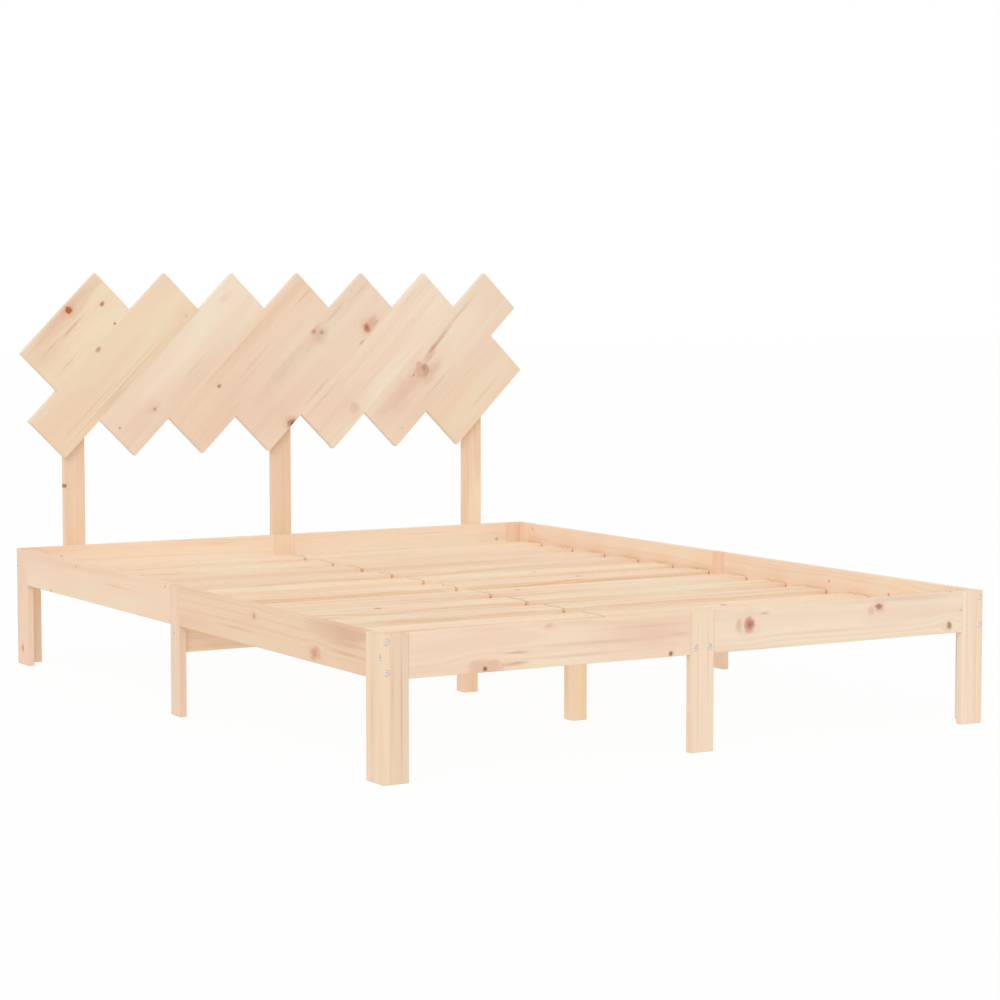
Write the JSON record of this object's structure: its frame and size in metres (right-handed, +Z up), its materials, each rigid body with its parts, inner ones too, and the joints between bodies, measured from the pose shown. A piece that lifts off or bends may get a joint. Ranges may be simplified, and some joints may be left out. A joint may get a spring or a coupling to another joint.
{
  "type": "pine bed frame",
  "caption": "Double bed frame in unfinished pine: low rails on flat board legs, slatted base, and a zigzag headboard of planks laid at 45 degrees on posts.",
  "frame": {"origin": "on the floor under the middle of the whole frame's bounding box", "axes": "+X to the right seen from the foot, +Y from the foot to the headboard, +Z up"},
  "size_m": [1.555, 2.073, 1.0293],
  "materials": {
    "pine_corner_leg": "planed unfinished pine, fine straight grain",
    "pine_mid_leg": "planed unfinished pine, fine straight grain",
    "pine_inner_leg": "planed unfinished pine",
    "pine_rail": "planed unfinished pine with knots and reddish grain streaks",
    "pine_beam": "planed unfinished pine",
    "pine_slat": "sawn and planed unfinished pine",
    "pine_plank": "planed unfinished pine, wide boards with knots",
    "pine_post": "planed unfinished pine",
    "zinc_bolt": "pale zinc plating, satin",
    "zinc_nut": "zinc plating",
    "beech_dowel": "fluted beech",
    "wood_screw": "yellow zinc plating"
  },
  "bodies": {
    "root": {"barrel_nuts": "zinc_nut", "centre_beam_foot_half": "pine_beam", "centre_beam_head_half": "pine_beam", "corner_leg_foot_left_end_board": "pine_corner_leg", "corner_leg_foot_left_side_board": "pine_corner_leg", "corner_leg_foot_right_end_board": "pine_corner_leg", "corner_leg_foot_right_side_board": "pine_corner_leg", "corner_leg_head_left_end_board": "pine_corner_leg", "corner_leg_head_left_side_board": "pine_corner_leg", "corner_leg_head_right_end_board": "pine_corner_leg", "corner_leg_head_right_side_board": "pine_corner_leg", "cross_beam_left_half": "pine_beam", "cross_beam_right_half": "pine_beam", "foot_rail_left_half": "pine_rail", "foot_rail_right_half": "pine_rail", "head_rail_left_half": "pine_rail", "head_rail_right_half": "pine_rail", "headboard_plank_1": "pine_plank", "headboard_plank_2": "pine_plank", "headboard_plank_3": "pine_plank", "headboard_plank_4": "pine_plank", "headboard_plank_5": "pine_plank", "headboard_plank_6": "pine_plank", "headboard_plank_7": "pine_plank", "headboard_plank_8": "pine_plank", "headboard_post_left": "pine_post", "headboard_post_middle": "pine_post", "headboard_post_right": "pine_post", "inner_leg_foot": "pine_inner_leg", "inner_leg_head": "pine_inner_leg", "inner_leg_middle": "pine_inner_leg", "ledger_left_foot_half": "pine_beam", "ledger_left_head_half": "pine_beam", "ledger_right_foot_half": "pine_beam", "ledger_right_head_half": "pine_beam", "long_bolts": "zinc_bolt", "mid_leg_foot": "pine_mid_leg", "mid_leg_head": "pine_mid_leg", "mid_leg_left": "pine_mid_leg", "mid_leg_right": "pine_mid_leg", "post_screws": "zinc_bolt", "short_bolts": "zinc_bolt", "side_rail_left_foot_half": "pine_rail", "side_rail_left_head_half": "pine_rail", "side_rail_right_foot_half": "pine_rail", "side_rail_right_head_half": "pine_rail", "slat_row_01": "pine_slat", "slat_row_02": "pine_slat", "slat_row_03": "pine_slat", "slat_row_04": "pine_slat", "slat_row_05": "pine_slat", "slat_row_06": "pine_slat", "slat_row_07": "pine_slat", "slat_row_08": "pine_slat", "slat_row_09": "pine_slat", "slat_row_10": "pine_slat", "slat_row_11": "pine_slat", "slat_row_12": "pine_slat", "wood_dowels": "beech_dowel", "wood_screws": "wood_screw"}
  },
  "joints": []
}
